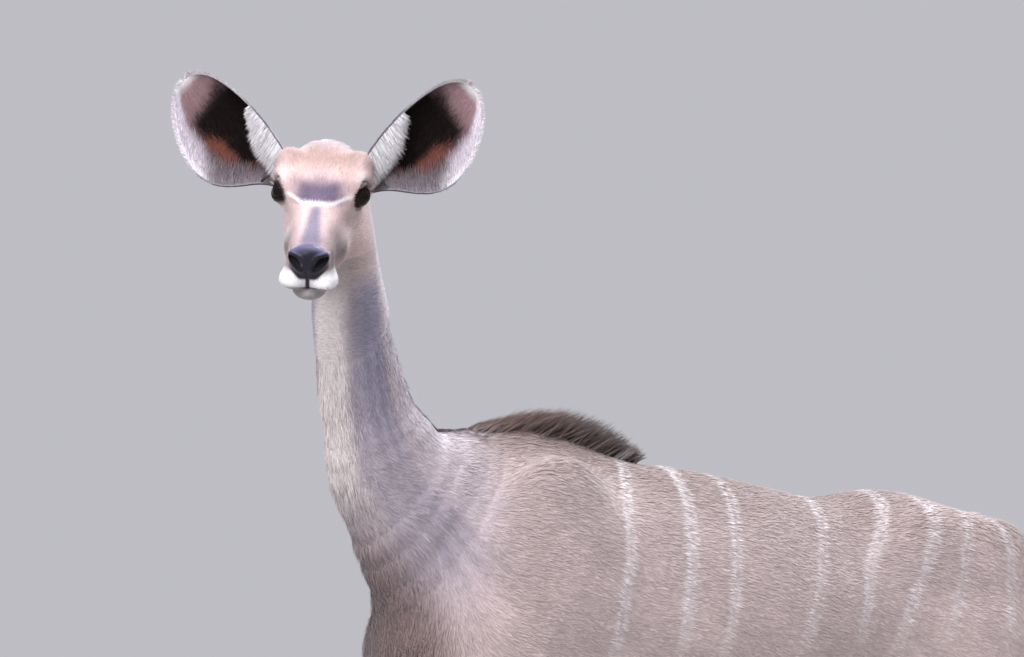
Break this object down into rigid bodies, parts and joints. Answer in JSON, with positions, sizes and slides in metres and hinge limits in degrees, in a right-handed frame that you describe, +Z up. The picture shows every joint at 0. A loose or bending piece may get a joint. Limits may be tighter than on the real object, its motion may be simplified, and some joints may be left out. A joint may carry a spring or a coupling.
{
  "type": "greater kudu cow",
  "caption": "Life-size greater kudu cow without horns, standing square with her head turned to her left, large round ears, narrow white body stripes and a short dark mane.",
  "frame": {"origin": "on the ground under the middle of the animal's box", "axes": "+Z up, -Y the way the body faces, +X to the animal's left"},
  "size_m": [0.4292, 1.539, 1.7871],
  "materials": {
    "coat": "short matt grey-fawn fur with narrow white stripes and a dark mane",
    "coat_pale": "short cream fur of chin and lower jaw",
    "coat_legs": "short smooth tawny fur",
    "ear": "thin skin with fine fur, dark inside, a pale rim and long white hair along the inner edge",
    "eye": "wet, near-black brown",
    "hoof": "dark horn with a dull sheen"
  },
  "bodies": {
    "root": {"head": "coat", "lower_jaw": "coat_pale", "ear_left": "ear", "ear_right": "ear", "eye_left": "eye", "eye_right": "eye", "neck": "coat", "chest": "coat", "barrel": "coat", "rump": "coat", "tail": "coat", "foreleg_left_forearm": "coat", "foreleg_left_cannon": "coat_legs", "foreleg_left_pastern": "coat_legs", "foreleg_left_hoof_outer": "hoof", "foreleg_left_hoof_inner": "hoof", "foreleg_right_forearm": "coat", "foreleg_right_cannon": "coat_legs", "foreleg_right_pastern": "coat_legs", "foreleg_right_hoof_outer": "hoof", "foreleg_right_hoof_inner": "hoof", "hindleg_left_gaskin": "coat", "hindleg_left_cannon": "coat_legs", "hindleg_left_pastern": "coat_legs", "hindleg_left_hoof_outer": "hoof", "hindleg_left_hoof_inner": "hoof", "hindleg_right_gaskin": "coat", "hindleg_right_cannon": "coat_legs", "hindleg_right_pastern": "coat_legs", "hindleg_right_hoof_outer": "hoof", "hindleg_right_hoof_inner": "hoof"}
  },
  "joints": []
}
